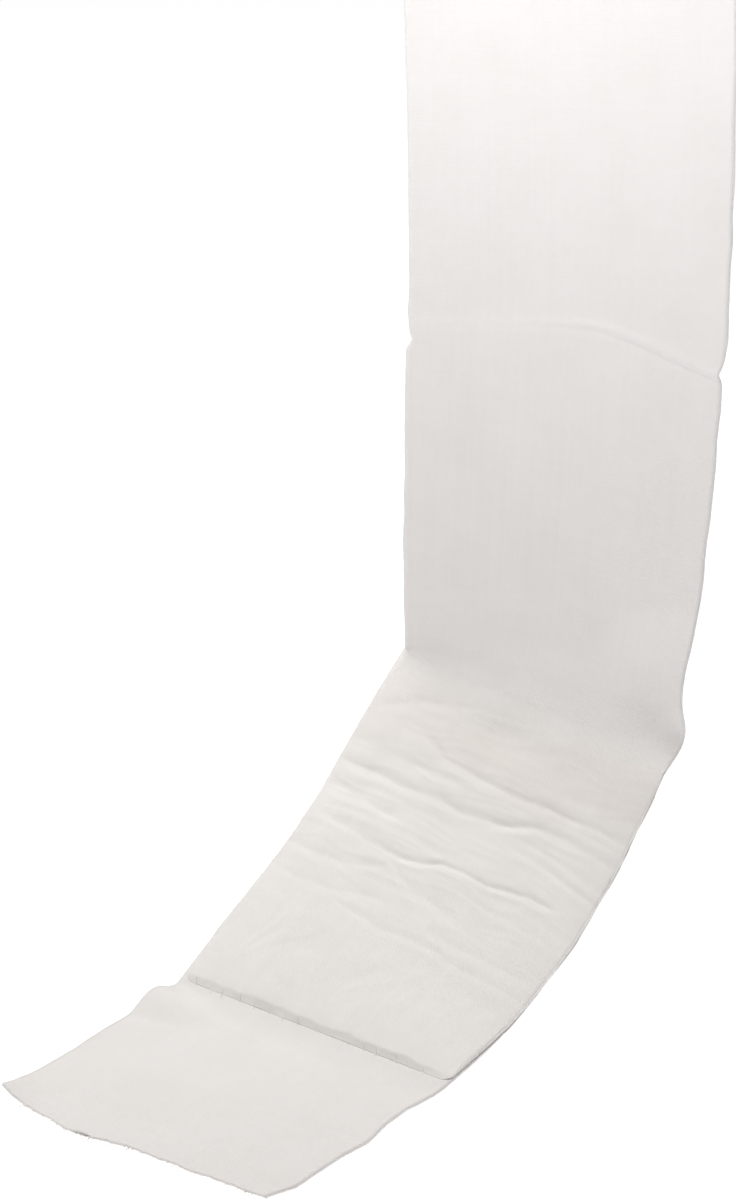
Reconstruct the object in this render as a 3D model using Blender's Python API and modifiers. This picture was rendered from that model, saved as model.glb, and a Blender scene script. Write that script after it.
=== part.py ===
"""First aid bandage with a wound pad, hanging by its top edge onto a flat surface.

A long strip of cotton gauze comes straight down, bends forward at a crease, carries
an absorbent pad down its slope and ends in a flat tail that lies on the surface.

Units are metres and +Z is up. The origin is the middle of the bandage's top edge,
its width runs along +X, and its tail runs out towards -Y.
"""

import math
from typing import NamedTuple

import bmesh
import bpy
import numpy as np

MM = 0.001

# Driving sizes
BANDAGE_WIDTH = 80 * MM
BANDAGE_THICKNESS = 1.1 * MM
PAD_WIDTH = 79 * MM
PAD_OFFSET = 0.5 * MM        # its middle lies this far to the right of the bandage's
PAD_THICKNESS = 2.9 * MM
PAD_START = 180 * MM        # distances are measured down the cloth from the top edge
PAD_LENGTH = 100 * MM
PAD_GAP = 0.3 * MM          # clearance between the pad's back and the bandage

# Mesh density
BANDAGE_COLUMNS = 20
PAD_COLUMNS = 18
PAD_ROW_SPACING = 1.7 * MM
ROUTE_SPACING = 0.5 * MM


class Section(NamedTuple):
    """The lie of the cloth at one distance down it, in millimetres and degrees."""

    name: str
    distance: float
    slope: float    # how steeply it falls: 90 is straight down, 0 is flat
    yaw: float      # turn of its width about the vertical
    lean: float     # sideways drift of its fall
    bank: float     # twist of its width about the line of fall
    askew: float    # how much lower its bend runs at the right edge than at the left
    rows: int       # mesh rows from here to the next section


SECTIONS = (
    Section("top_edge", 0, 88.5, -8.0, 3.5, -6.5, 0, 6),
    Section("above_step", 80, 87.0, -6.0, 1.5, -6.0, 0, 10),
    Section("below_step", 104, 86.0, -5.0, 0.0, -6.0, 0, 4),
    Section("hanging", 145, 87.0, -2.0, -1.5, -5.0, 0, 6),
    Section("crease_top", 176, 84.5, 1.5, -2.5, -3.5, 5, 6),
    Section("crease_foot", 182, 50.5, 1.5, -4.5, -5.0, 5, 8),
    Section("pad_high", 205, 45.0, -0.5, -3.5, -6.5, 0, 5),
    Section("pad_middle", 230, 36.0, -0.5, -4.5, -8.0, 0, 5),
    Section("pad_low", 255, 27.5, 0.5, -5.0, -6.5, 0, 5),
    Section("pad_foot", 281, 20.0, 0.5, -0.5, 0.0, 0, 4),
    Section("landing", 289, 0.0, 2.5, 0.0, 0.0, 0, 8),
    Section("tail", 315, 0.0, 1.0, 0.0, 0.0, 0, 9),
    Section("tail_end", 345, 0.0, -4.5, 0.0, 0.0, 0, 0),
)
BANDAGE_LENGTH = SECTIONS[-1].distance * MM

# The tail's end is cut slightly askew, shorter at its left, and swells out near there
END_START = 315 * MM
END_SKEW = 2.5 * MM
END_SWELL = 2.0 * MM
END_SWELL_PLACE = 27 * MM    # across from the left edge
END_SWELL_REACH = 13 * MM

# The arched fold mark across the hanging length: below it the cloth stands forward
# and sits a little further to the left
FOLD_MARK_HEIGHT = 0.7 * MM
FOLD_MARK_SHIFT = 0.4 * MM
FOLD_MARK_BLEND = 5 * MM
# its places, across from the left edge and down the cloth, left to right, in millimetres
FOLD_MARK_PATH = ((0, 90), (8, 88), (20, 87), (32, 86), (46, 85), (56, 86.5), (70, 91), (80, 94))
FOLD_MARK_END = 170 * MM     # where the forward stand has faded out

# The tail's left corner curls up off the surface
CURL_DEPTH = 12 * MM
CURL_ANGLE = math.radians(50)

# The pad's crown, and its thin upper end, which fills out down a ramp
PAD_RAMP_LENGTH = 9 * MM
PAD_RAMP_SHARE = 0.15        # height of the upper end as a share of the full thickness
PAD_CORNER_RADIUS = 3.0 * MM
PAD_CROWN = 0.3 * MM
PAD_END_ROWS = (0.0, 0.5 * MM, 1.4 * MM)


class PadEdge(NamedTuple):
    """How the pad thins towards an edge, as shares of its full thickness and in metres."""

    share: float        # thickness at the edge
    build_up: float     # the thickness builds up over a few times this distance
    rim_share: float    # the rounded rim starts at this share of the edge's thickness
    rim_width: float


PAD_SIDE = PadEdge(0.5, 6 * MM, 0.7, 0.8 * MM)
PAD_FOOT = PadEdge(0.4, 8 * MM, 0.4, 1.2 * MM)


class Trim(NamedTuple):
    """How far the tail's two edges stand in at one distance down it, in millimetres."""

    distance: float
    left: float
    right: float


TAIL_TRIMS = (
    Trim(281, 0.0, 0.0),
    Trim(287, 0.0, 0.7),
    Trim(293, 0.0, 1.3),
    Trim(301, 0.4, 0.8),
    Trim(310, 0.8, -0.6),
    Trim(318, 1.4, 0.2),
    Trim(337, 1.4, 0.2),
    Trim(345, 1.9, 3.0),
)


class Bulge(NamedTuple):
    """A round swelling of the cloth, or a hollow where its height is below 0, in millimetres."""

    name: str
    distance: float     # its middle, measured down the cloth
    place: float        # its middle, measured across from the left edge
    height: float
    length: float       # reach up and down the cloth
    width: float        # reach across it


BULGES = (
    Bulge("above_crease", 163, 80, 2.5, 17, 26),
    Bulge("elbow", 179, 80, -2.0, 9, 22),
    Bulge("arched_bend", 178, 46, 1.8, 15, 36),
    Bulge("below_crease", 191, 40, -1.0, 8, 17),
    Bulge("pad_left", 200, 0, 1.0, 20, 20),
    Bulge("past_pad", 290.5, 0, 3.0, 9.5, 20),
)


class Wrinkle(NamedTuple):
    """A soft trough across the pad, in millimetres."""

    name: str
    depth: float
    half_width: float
    path: tuple         # places (across from the left edge, down the cloth), left to right


WRINKLES = (
    Wrinkle("slanting", 0.5, 2.0, ((0, 195.5), (12.5, 190), (21.5, 185), (31, 184.5))),
    Wrinkle("upper", 0.9, 2.0, ((7, 197), (20, 199.5), (34, 201.5), (52, 201.5), (66, 202.5), (86, 203))),
    Wrinkle("upper_left", 0.7, 1.8, ((-6, 203), (14, 204.5), (23, 203.5), (32, 204.5))),
    Wrinkle("high", 1.1, 1.9, ((-6, 209), (15, 210), (30, 211.5), (48, 211), (62, 207.5), (86, 211))),
    Wrinkle("middle_left", 0.6, 1.8, ((-6, 218), (14, 218), (23, 219), (34, 217.5))),
    Wrinkle("middle_right", 0.5, 1.8, ((52, 215), (62, 215), (69, 217), (79, 219))),
    Wrinkle("sharp", 1.3, 1.8, ((3, 226), (20, 227.5), (31, 228), (41, 226), (51, 226), (78, 224))),
    Wrinkle("low", 0.8, 1.9, ((-6, 237.5), (17, 236.5), (31, 232.5), (37, 234.5), (52, 236.5))),
    Wrinkle("lowest", 0.7, 2.1, ((-6, 245), (9, 246), (20, 244), (33, 247), (50, 246.5), (80, 247.5))),
)
WRINKLE_FADE = 7 * MM        # each trough fades out over this length at both ends


def smooth_step(value):
    """Rises smoothly from 0 to 1 as value goes from 0 to 1."""
    value = min(max(value, 0.0), 1.0)
    return value * value * (3.0 - 2.0 * value)


def bump(value):
    """A round bump, 1 at value 0 and exactly 0 from value 1 outwards."""
    return max(0.0, 1.0 - value * value) ** 2


def section_values(distance, column):
    """One column of the section table at each distance, in the table's units."""
    places = [section.distance * MM for section in SECTIONS]
    values = [getattr(section, column) for section in SECTIONS]
    return np.interp(distance, places, values)


def cloth_axes(distance):
    """Unit vectors along, across and out of the front of the cloth."""
    slope, yaw, lean, bank = (
        np.radians(section_values(distance, column)) for column in ("slope", "yaw", "lean", "bank"))
    flat = np.zeros_like(distance)
    level_across = np.stack((np.cos(yaw), -np.sin(yaw), flat), axis=-1)
    level_ahead = np.stack((-np.sin(yaw), -np.cos(yaw), flat), axis=-1)
    down = np.array((0.0, 0.0, -1.0))

    def turned(first, second, angle):
        return np.cos(angle)[..., None] * first + np.sin(angle)[..., None] * second

    fall = turned(level_ahead, down, slope)
    along = turned(fall, level_across, lean)
    across = turned(level_across, -fall, lean)
    across = turned(across, np.cross(along, across), bank)
    return along, across, np.cross(along, across)


class Route:
    """The bandage's back along its middle, laid from the top edge to the tail's end."""

    def __init__(self):
        count = round(BANDAGE_LENGTH / ROUTE_SPACING)
        self.distances = np.linspace(0.0, BANDAGE_LENGTH, count + 1)
        middles = (self.distances[1:] + self.distances[:-1]) / 2
        strides = cloth_axes(middles)[0] * np.diff(self.distances)[:, None]
        self.points = np.concatenate((np.zeros((1, 3)), np.cumsum(strides, axis=0)))

    def centre(self, distance):
        return np.array([np.interp(distance, self.distances, self.points[:, axis]) for axis in range(3)])


ROUTE = Route()


def fold_mark(across):
    """How far down the cloth the fold mark lies at each place across it."""
    places, distances = np.array(FOLD_MARK_PATH).T * MM
    return float(np.interp(across + BANDAGE_WIDTH / 2, places, distances))


def below_fold_mark(distance, across):
    """0 above the arched fold mark, 1 below it, with a short blend between."""
    return smooth_step((distance - fold_mark(across)) / FOLD_MARK_BLEND + 0.5)


def cloth_lift(distance, across):
    """How far the fold mark and the bulges raise the cloth."""
    fade = (FOLD_MARK_END - distance) / (FOLD_MARK_END - fold_mark(across))
    lift = FOLD_MARK_HEIGHT * below_fold_mark(distance, across) * min(max(fade, 0.0), 1.0)
    for bulge in BULGES:
        along = (distance - bulge.distance * MM) / (bulge.length * MM)
        aside = (across + BANDAGE_WIDTH / 2 - bulge.place * MM) / (bulge.width * MM)
        lift += bulge.height * MM * bump(math.hypot(along, aside))
    return lift


def corner_curl(distance, across):
    """Shift towards the corner and upwards where the tail's left corner curls up."""
    left_end = BANDAGE_LENGTH - END_SKEW
    from_corner = (left_end - distance + across + BANDAGE_WIDTH / 2) / math.sqrt(2)
    past_bend = max(0.0, CURL_DEPTH - from_corner)
    radius = CURL_DEPTH / CURL_ANGLE
    outward = radius * math.sin(past_bend / radius) - past_bend
    return outward, radius * (1 - math.cos(past_bend / radius))


def cloth_point(distance, across, height=0.0):
    """A point on the bandage's back, or height in front of it.

    distance is measured from the top edge and across from the middle line. Where a
    bend runs askew, the bend line through the point crosses the middle at level.
    """
    level = distance - section_values(distance, "askew") * MM * across / BANDAGE_WIDTH
    along, side, front = cloth_axes(np.array(level))
    outward, raised = corner_curl(distance, across)
    lift = cloth_lift(distance, across) + height + raised
    sideways = across - FOLD_MARK_SHIFT * below_fold_mark(distance, across)
    point = ROUTE.centre(level) + along * (distance - level) + side * sideways + front * lift
    return point + (along - side) * outward / math.sqrt(2)


def wrinkle_depth(distance, from_left):
    """Total depth of the pad's troughs at one place on it."""
    total = 0.0
    for wrinkle in WRINKLES:
        across, down = np.array(wrinkle.path).T * MM
        inside = min(from_left - across[0], across[-1] - from_left)
        offset = (distance - np.interp(from_left, across, down)) / (wrinkle.half_width * MM)
        total += wrinkle.depth * MM * smooth_step(inside / WRINKLE_FADE) * math.exp(-offset * offset)
    return total


def thinned(edge, from_edge):
    """Height share of the pad at a distance in from one of its edges."""
    inward = min(from_edge / edge.rim_width, 1.0)
    rim = edge.rim_share + (1 - edge.rim_share) * math.sqrt(1 - (1 - inward) ** 2)
    return rim * (1 - (1 - edge.share) * math.exp(-from_edge / edge.build_up))


def pad_thickness(down_pad, across):
    """Thickness of the pad: full in the middle, thin at its edges, less in the troughs."""
    from_side = PAD_WIDTH / 2 - abs(across)
    crown = PAD_CROWN * (1 - (2 * across / PAD_WIDTH) ** 2)
    from_left = BANDAGE_WIDTH / 2 + PAD_OFFSET + across
    full = PAD_THICKNESS + crown - wrinkle_depth(PAD_START + down_pad, from_left)
    filled = 1 - math.exp(-((down_pad / PAD_RAMP_LENGTH) ** 1.6))
    ramp = PAD_RAMP_SHARE + (1 - PAD_RAMP_SHARE) * filled
    return full * ramp * thinned(PAD_SIDE, from_side) * thinned(PAD_FOOT, PAD_LENGTH - down_pad)


def corner_inset(from_end):
    """How far the pad's rounded corners draw in its sides near its two ends."""
    past = max(0.0, 1.0 - from_end / PAD_CORNER_RADIUS)
    return PAD_CORNER_RADIUS * (1.0 - math.sqrt(1.0 - past * past))


def pad_row_places():
    """Distances down the pad of its mesh rows, closer together at its two ends."""
    first = PAD_END_ROWS[-1]
    last = PAD_LENGTH - first
    count = round((last - first) / PAD_ROW_SPACING)
    inner = np.linspace(first, last, count + 1)
    lead_out = [PAD_LENGTH - place for place in reversed(PAD_END_ROWS[:-1])]
    return [*PAD_END_ROWS[:-1], *inner, *lead_out]


def cloth_material(name, colour, roughness):
    material = bpy.data.materials.new(name)
    material.use_nodes = True
    shader = material.node_tree.nodes["Principled BSDF"]
    shader.inputs["Base Color"].default_value = (*colour, 1.0)
    shader.inputs["Roughness"].default_value = roughness
    shader.inputs["Metallic"].default_value = 0.0
    return material


def grid_object(name, columns, rows, place_vertex, collection):
    """A grid of columns by rows whose vertices place_vertex(column, row) lays out."""
    shape = bmesh.new()
    bmesh.ops.create_grid(shape, x_segments=columns, y_segments=rows, size=0.5)
    for vertex in shape.verts:
        column = round((vertex.co.x + 0.5) * columns)
        row = round((0.5 - vertex.co.y) * rows)
        vertex.co = place_vertex(column, row)
    mesh = bpy.data.meshes.new(name)
    shape.to_mesh(mesh)
    shape.free()
    mesh.shade_smooth()
    piece = bpy.data.objects.new(name, mesh)
    collection.objects.link(piece)
    return piece


def add_thickness(piece, thickness):
    """Thicken an open sheet from its back towards its front."""
    solidify = piece.modifiers.new("Thickness", "SOLIDIFY")
    solidify.thickness = thickness
    solidify.offset = 1.0
    return solidify


def bandage_plan(distance, share):
    """A place on the bandage: distance down it and across from its middle line.

    share runs from 0 at its left edge to 1 at its right edge.
    """
    places = [trim.distance * MM for trim in TAIL_TRIMS]
    left, right = (
        np.interp(distance, places, [getattr(trim, side) * MM for trim in TAIL_TRIMS])
        for side in ("left", "right"))
    across = left - BANDAGE_WIDTH / 2 + share * (BANDAGE_WIDTH - left - right)
    towards_end = max(0.0, distance - END_START) / (BANDAGE_LENGTH - END_START)
    swell = bump((BANDAGE_WIDTH * share - END_SWELL_PLACE) / END_SWELL_REACH)
    return distance + (END_SWELL * swell - END_SKEW * (1 - share)) * towards_end, across


def make_bandage(collection):
    row_ends = np.cumsum([0] + [section.rows for section in SECTIONS[:-1]])
    places = [section.distance * MM for section in SECTIONS]

    def place_vertex(column, row):
        distance = float(np.interp(row, row_ends, places))
        return cloth_point(*bandage_plan(distance, column / BANDAGE_COLUMNS))

    bandage = grid_object("gauze_bandage", BANDAGE_COLUMNS, int(row_ends[-1]), place_vertex, collection)
    bandage.data.materials.append(cloth_material("bandage_gauze", (0.80, 0.78, 0.75), 0.92))
    add_thickness(bandage, BANDAGE_THICKNESS)
    return bandage


def make_pad(collection):
    rows = pad_row_places()
    base = BANDAGE_THICKNESS + PAD_GAP

    def pad_plan(column, row):
        """Distance down the pad and across it; columns crowd towards the rims."""
        from_end = min(rows[row], PAD_LENGTH - rows[row])
        half_width = PAD_WIDTH / 2 - corner_inset(from_end)
        return rows[row], -half_width * math.cos(math.pi * column / PAD_COLUMNS)

    def place_vertex(column, row):
        down_pad, across = pad_plan(column, row)
        return cloth_point(PAD_START + down_pad, PAD_OFFSET + across, base)

    pad = grid_object("wound_pad", PAD_COLUMNS, len(rows) - 1, place_vertex, collection)
    pad.data.materials.append(cloth_material("pad_gauze", (0.84, 0.82, 0.79), 0.95))

    most = PAD_THICKNESS + PAD_CROWN
    loft = pad.vertex_groups.new(name="loft")
    for vertex in pad.data.vertices:
        row, column = divmod(vertex.index, PAD_COLUMNS + 1)
        down_pad, across = pad_plan(column, len(rows) - 1 - row)
        loft.add([vertex.index], pad_thickness(down_pad, across) / most, "REPLACE")
    thickness = add_thickness(pad, most)
    thickness.vertex_group = loft.name
    return pad


def main():
    for item in list(bpy.data.objects):
        bpy.data.objects.remove(item, do_unlink=True)
    collection = bpy.data.collections.new("first_aid_bandage")
    bpy.context.scene.collection.children.link(collection)
    make_bandage(collection)
    make_pad(collection)


main()
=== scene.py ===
"""Looks of the first aid bandage: its gauze, its wrinkled wound pad, sewing and frayed ends."""

import math
import random
from typing import NamedTuple

import bmesh
import bpy
import numpy as np
from mathutils import Euler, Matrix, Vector, noise


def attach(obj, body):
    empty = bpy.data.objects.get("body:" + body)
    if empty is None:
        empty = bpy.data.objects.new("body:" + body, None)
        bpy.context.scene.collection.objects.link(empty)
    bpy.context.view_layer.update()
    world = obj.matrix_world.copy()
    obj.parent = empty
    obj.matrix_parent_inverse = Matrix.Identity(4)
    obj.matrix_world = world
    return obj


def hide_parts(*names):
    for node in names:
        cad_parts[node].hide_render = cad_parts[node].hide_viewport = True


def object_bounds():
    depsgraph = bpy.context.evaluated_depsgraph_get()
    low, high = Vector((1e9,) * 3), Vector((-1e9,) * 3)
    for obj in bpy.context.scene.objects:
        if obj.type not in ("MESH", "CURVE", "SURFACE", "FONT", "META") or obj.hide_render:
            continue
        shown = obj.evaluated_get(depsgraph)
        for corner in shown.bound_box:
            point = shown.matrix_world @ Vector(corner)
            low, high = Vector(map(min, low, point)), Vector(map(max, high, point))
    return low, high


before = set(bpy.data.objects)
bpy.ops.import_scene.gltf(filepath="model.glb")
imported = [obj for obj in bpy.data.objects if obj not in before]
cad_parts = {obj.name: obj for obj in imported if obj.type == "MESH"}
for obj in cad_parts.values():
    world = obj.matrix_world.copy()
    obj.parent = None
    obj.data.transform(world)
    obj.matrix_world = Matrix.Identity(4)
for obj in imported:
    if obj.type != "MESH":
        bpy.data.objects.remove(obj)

cad_low, cad_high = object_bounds()

MM = 0.001

# Sizes of the cloth. Distances run down the cloth from its top edge.
BANDAGE_WIDTH = 80 * MM
SHEET_THICKNESS = 0.55 * MM     # half that of the solid
SHEET_LIFT = 0.1                # millimetres from the solid's back to the cloth's
PAD_WIDTH = 79 * MM
PAD_OFFSET = 0.5 * MM
PAD_START = 180 * MM
PAD_LENGTH = 100 * MM
PAD_BASE = SHEET_THICKNESS + SHEET_LIFT * MM    # the pad's back lies on the bandage's front
PAD_THICKNESS = 2.9 * MM


# ---------------------------------------------------------------- the lie of the cloth

class Section(NamedTuple):
    """The lie of the cloth at one distance down it, in millimetres and degrees."""

    name: str
    distance: float
    slope: float    # how steeply it falls: 90 is straight down, 0 is flat
    yaw: float      # turn of its width about the vertical
    lean: float     # sideways drift of its fall
    bank: float     # twist of its width about the line of fall
    askew: float    # how much lower its bend runs at the right edge than at the left


SECTIONS = (
    Section("top_edge", 0, 88.5, -8.0, 3.5, -6.5, 0),
    Section("above_step", 80, 87.0, -6.0, 1.5, -6.0, 0),
    Section("below_step", 104, 86.0, -5.0, 0.0, -6.0, 0),
    Section("hanging", 145, 87.0, -2.0, -1.5, -5.0, 0),
    Section("crease_top", 176, 84.5, 1.5, -2.5, -3.5, 5),
    Section("crease_foot", 182, 50.5, 1.5, -4.5, -5.0, 5),
    Section("pad_high", 205, 45.0, -0.5, -3.5, -6.5, 0),
    Section("pad_middle", 230, 36.0, -0.5, -4.5, -8.0, 0),
    Section("pad_low", 255, 27.5, 0.5, -5.0, -6.5, 0),
    Section("pad_foot", 281, 20.0, 0.5, -0.5, 0.0, 0),
    Section("landing", 289, 0.0, 2.5, 0.0, 0.0, 0),
    Section("tail", 315, 0.0, 1.0, 0.0, 0.0, 0),
    Section("tail_end", 345, 0.0, -4.5, 0.0, 0.0, 0),
)
BANDAGE_LENGTH = SECTIONS[-1].distance * MM
ROUTE_SPACING = 0.5 * MM

# The tail's end is cut slightly askew, shorter at its left, and swells out near there
END_START = 315 * MM
END_SKEW = 2.5 * MM
END_SWELL = 2.0 * MM
END_SWELL_PLACE = 27 * MM
END_SWELL_REACH = 13 * MM

# The fold mark across the hanging length: below it the cloth stands forward, and a low
# ridge runs along it, sharpest to the right of the middle
FOLD_MARK_HEIGHT = 0.5 * MM
FOLD_MARK_SHIFT = 0.4 * MM
FOLD_MARK_BLEND = 6 * MM
FOLD_MARK_END = 170 * MM
FOLD_MARK_PATH = (      # places (across from the left edge, down the cloth) in millimetres
    (0, 90), (8, 88.3), (20, 87), (32, 86.2), (42, 85.2),
    (50, 85.2), (56, 86.6), (62, 88.4), (70, 91), (80, 94),
)
FOLD_MARK_ROUNDING = 2.5 * MM
FOLD_RIDGE_HEIGHT = 0.3 * MM
FOLD_RIDGE_WIDTH = 0.7 * MM
FOLD_GROOVE_SHIFT = 1.5 * MM    # a finer groove runs this far below the ridge
FOLD_GROOVE_SHARE = 0.7
FOLD_RIDGE_START = 30 * MM      # from the left edge: up to here the ridge is faint
FOLD_RIDGE_FULL = 60 * MM       # and from here on it has its full height
FOLD_RIDGE_FAINT = 0.1          # its share of that height where it is faint

# The bend above the pad is sharp at the two edges and softer between them
BEND_PLACE = 179 * MM
BEND_SOFTNESS = 5 * MM
BEND_REACH = 22 * MM

# The tail's left corner curls up off the surface
CURL_DEPTH = 12 * MM
CURL_ANGLE = math.radians(50)


class Trim(NamedTuple):
    """How far the tail's two edges stand in, at one distance down the cloth, in millimetres."""

    distance: float
    left: float
    right: float


TAIL_TRIMS = (
    Trim(281, 0.0, 0.0),
    Trim(287, 0.0, 0.7),
    Trim(293, 0.0, 1.3),
    Trim(301, 0.4, 0.8),
    Trim(310, 0.8, -0.6),
    Trim(318, 1.4, 0.2),
    Trim(337, 1.4, 0.2),
    Trim(345, 1.9, 3.0),
)


class Bulge(NamedTuple):
    """A round swelling of the cloth, or a hollow where its height is below 0, in millimetres."""

    name: str
    distance: float
    place: float    # across from the left edge
    height: float
    length: float
    width: float


BULGES = (
    Bulge("above_crease", 163, 80, 2.5, 17, 26),
    Bulge("elbow", 179, 80, -2.0, 9, 22),
    Bulge("arched_bend", 178, 46, 1.8, 15, 36),
    Bulge("below_crease", 191, 40, -1.0, 8, 17),
    Bulge("pad_left", 200, 0, 1.0, 20, 20),
    Bulge("past_pad", 290.5, 0, 3.0, 9.5, 20),
)


def smooth_step(value):
    """Rises smoothly from 0 to 1 as value goes from 0 to 1."""
    value = np.clip(value, 0.0, 1.0)
    return value * value * (3.0 - 2.0 * value)


def bump_shape(value):
    """A round bump, 1 at value 0 and exactly 0 from value 1 outwards."""
    return np.maximum(0.0, 1.0 - value * value) ** 2


def section_values(distance, column):
    places = [section.distance * MM for section in SECTIONS]
    return np.interp(distance, places, [getattr(section, column) for section in SECTIONS])


def cloth_axes(distance):
    """Unit vectors along, across and out of the front of the cloth."""
    slope, yaw, lean, bank = (
        np.radians(section_values(distance, column)) for column in ("slope", "yaw", "lean", "bank"))
    flat = np.zeros_like(distance)
    level_across = np.stack((np.cos(yaw), -np.sin(yaw), flat), axis=-1)
    level_ahead = np.stack((-np.sin(yaw), -np.cos(yaw), flat), axis=-1)
    down = np.array((0.0, 0.0, -1.0))

    def turned(first, second, angle):
        return np.cos(angle)[..., None] * first + np.sin(angle)[..., None] * second

    fall = turned(level_ahead, down, slope)
    along = turned(fall, level_across, lean)
    across = turned(level_across, -fall, lean)
    across = turned(across, np.cross(along, across), bank)
    return along, across, np.cross(along, across)


def lay_route():
    """Points down the middle of the bandage's back, from the top edge to the tail's end."""
    distances = np.linspace(0.0, BANDAGE_LENGTH, round(BANDAGE_LENGTH / ROUTE_SPACING) + 1)
    middles = (distances[1:] + distances[:-1]) / 2
    strides = cloth_axes(middles)[0] * np.diff(distances)[:, None]
    return distances, np.concatenate((np.zeros((1, 3)), np.cumsum(strides, axis=0)))


ROUTE_DISTANCES, ROUTE_POINTS = lay_route()


def table_values(table, distance, column):
    """One column of a table whose rows lie at distances down the cloth, in millimetres."""
    places = [row.distance * MM for row in table]
    return np.interp(distance, places, [getattr(row, column) * MM for row in table])


def fold_mark(across):
    """How far down the cloth the fold mark lies at each place across it."""
    places, distances = np.array(FOLD_MARK_PATH).T * MM
    from_left = across + BANDAGE_WIDTH / 2
    beside = [np.interp(from_left + shift * FOLD_MARK_ROUNDING, places, distances) for shift in (-1, 0, 1)]
    return (beside[0] + beside[1] + beside[2]) / 3


def below_fold_mark(distance, across):
    """0 above the fold mark, 1 below it, with a short blend between."""
    return smooth_step((distance - fold_mark(across)) / FOLD_MARK_BLEND + 0.5)


def cloth_lift(distance, across):
    """How far the fold mark and the bulges raise the cloth."""
    mark = fold_mark(across)
    fade = np.clip((FOLD_MARK_END - distance) / (FOLD_MARK_END - mark), 0.0, 1.0)
    lift = FOLD_MARK_HEIGHT * below_fold_mark(distance, across) * fade
    past_start = across + BANDAGE_WIDTH / 2 - FOLD_RIDGE_START
    rising = smooth_step(past_start / (FOLD_RIDGE_FULL - FOLD_RIDGE_START))
    sharpness = FOLD_RIDGE_FAINT + (1 - FOLD_RIDGE_FAINT) * rising
    for shift, share in ((0.0, 1.0), (FOLD_GROOVE_SHIFT, -FOLD_GROOVE_SHARE)):
        profile = np.exp(-(((distance - mark - shift) / FOLD_RIDGE_WIDTH) ** 2))
        lift += share * FOLD_RIDGE_HEIGHT * sharpness * profile
    for bulge in BULGES:
        along = (distance - bulge.distance * MM) / (bulge.length * MM)
        aside = (across + BANDAGE_WIDTH / 2 - bulge.place * MM) / (bulge.width * MM)
        lift += bulge.height * MM * bump_shape(np.hypot(along, aside))
    return lift


def corner_curl(distance, across):
    """How far the tail's left corner shifts outwards, which is below 0, and upwards as it curls."""
    from_corner = (BANDAGE_LENGTH - END_SKEW - distance + across + BANDAGE_WIDTH / 2) / math.sqrt(2)
    past_bend = np.maximum(0.0, CURL_DEPTH - from_corner)
    radius = CURL_DEPTH / CURL_ANGLE
    outward = radius * np.sin(past_bend / radius) - past_bend
    return outward, radius * (1 - np.cos(past_bend / radius))


def laid_points(distance, across, height):
    """Points on the bandage's back, or height in front of it, with the bend at its sharpest."""
    level = distance - table_values(SECTIONS, distance, "askew") * across / BANDAGE_WIDTH
    along, side, front = cloth_axes(level)
    centre = [np.interp(level, ROUTE_DISTANCES, ROUTE_POINTS[:, axis]) for axis in range(3)]
    centre = np.stack(centre, axis=-1)
    outward, raised = corner_curl(distance, across)
    lift = cloth_lift(distance, across) + height + raised
    sideways = across - FOLD_MARK_SHIFT * below_fold_mark(distance, across)
    point = centre + along * (distance - level)[..., None]
    point = point + side * sideways[..., None] + front * lift[..., None]
    return point + (along - side) * outward[..., None] / math.sqrt(2)


def cloth_points(distance, across, height):
    """Points on the bandage's back, or height in front of it. All three are arrays alike."""
    middle = np.maximum(0.0, 1 - (2 * across / BANDAGE_WIDTH) ** 6)
    spread = BEND_SOFTNESS * middle * bump_shape((distance - BEND_PLACE) / BEND_REACH)
    steps = (-1.0, -0.5, 0.0, 0.5, 1.0)
    return sum(laid_points(distance + step * spread, across, height) for step in steps) / len(steps)


def bandage_plan(distance, share):
    """Places on the bandage from a share of its width, 0 at the left edge and 1 at the right."""
    left = table_values(TAIL_TRIMS, distance, "left")
    right = table_values(TAIL_TRIMS, distance, "right")
    across = left - BANDAGE_WIDTH / 2 + share * (BANDAGE_WIDTH - left - right)
    towards_end = np.maximum(0.0, distance - END_START) / (BANDAGE_LENGTH - END_START)
    swell = bump_shape((BANDAGE_WIDTH * share - END_SWELL_PLACE) / END_SWELL_REACH)
    return distance + (END_SWELL * swell - END_SKEW * (1 - share)) * towards_end, across


class EdgeWave(NamedTuple):
    """A stretch where one woven edge strays sideways, in millimetres; a shift below 0 is to the left."""

    name: str
    side: str
    distance: float     # its middle, measured down the cloth
    reach: float        # it fades out over this length both ways
    shift: float


EDGE_WAVES = (
    EdgeWave("drawn_in_above_crease", "left", 172, 10, 0.5),
    EdgeWave("drawn_in_by_wrinkles", "left", 240, 30, 0.6),
    EdgeWave("drawn_in_at_tail", "left", 335, 40, 0.9),
    EdgeWave("slack_above_crease", "right", 175, 8, 0.7),
    EdgeWave("drawn_in_below_crease", "right", 183, 4, -0.5),
    EdgeWave("slack_at_pad_foot", "right", 272, 20, 0.5),
    EdgeWave("slack_at_tail", "right", 315, 30, 0.7),
)
EDGE_STRIPS = 12    # the width in strips: a shift at an edge fades out over one strip


def edge_shift(distance, share):
    """Sideways shift at a share of the width: full at the two edges, none past the first strip."""
    shift = {"left": 0.0, "right": 0.0}
    for wave in EDGE_WAVES:
        along = (distance - wave.distance * MM) / (wave.reach * MM)
        shift[wave.side] += wave.shift * MM * bump_shape(along)
    at_left = np.maximum(0.0, 1 - share * EDGE_STRIPS)
    at_right = np.maximum(0.0, share * EDGE_STRIPS - (EDGE_STRIPS - 1))
    return shift["left"] * at_left + shift["right"] * at_right


NOISE_LAYER_STEP = 7.3      # far enough between layers for one seed to look unlike the next
NOISE_STRENGTH = 1.6


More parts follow.
